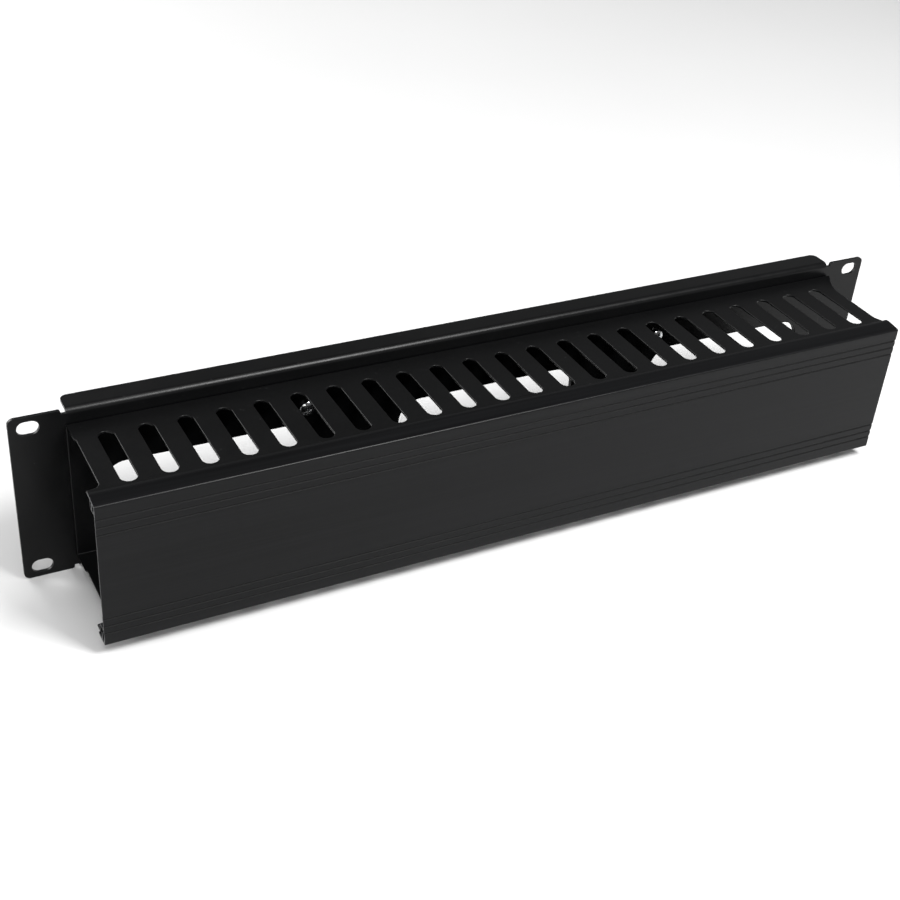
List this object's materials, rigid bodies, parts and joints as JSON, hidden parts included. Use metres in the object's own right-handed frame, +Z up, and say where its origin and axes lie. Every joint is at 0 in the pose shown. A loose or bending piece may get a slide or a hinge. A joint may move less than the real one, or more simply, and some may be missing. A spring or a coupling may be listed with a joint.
{
  "type": "horizontal cable manager",
  "caption": "Two-unit horizontal rack cable manager: flanged rack panel carrying a slotted steel duct, with rear pass-through openings and a slide-on cover.",
  "frame": {"origin": "centre of the front face of the rack panel, which is the centre of the four ear slots", "axes": "+X along the width of the rack, +Y to the rear of the rack, +Z up; the duct and its cover stand out to -Y"},
  "size_m": [0.4826, 0.0787, 0.0882],
  "materials": {
    "black_powder_coat": "fine satin powder coat on folded steel sheet",
    "black_anodised": "black anodised extrusion with faint lengthwise die lines",
    "zinc_plated": "bright zinc plating"
  },
  "bodies": {
    "duct": {"rack_panel": "black_powder_coat", "duct_channel": "black_powder_coat", "screw_top_left": "zinc_plated", "washer_top_left": "zinc_plated", "nut_top_left": "zinc_plated", "screw_top_right": "zinc_plated", "washer_top_right": "zinc_plated", "nut_top_right": "zinc_plated", "screw_bottom_left": "zinc_plated", "washer_bottom_left": "zinc_plated", "nut_bottom_left": "zinc_plated", "screw_bottom_right": "zinc_plated", "washer_bottom_right": "zinc_plated", "nut_bottom_right": "zinc_plated"},
    "cover": {"front_cover": "black_anodised"}
  },
  "joints": [
    {"name": "cover_slide", "type": "slide", "parent": "duct", "child": "cover", "axis": [1, 0, 0], "range_m": [-0.433, 0.437]}
  ]
}
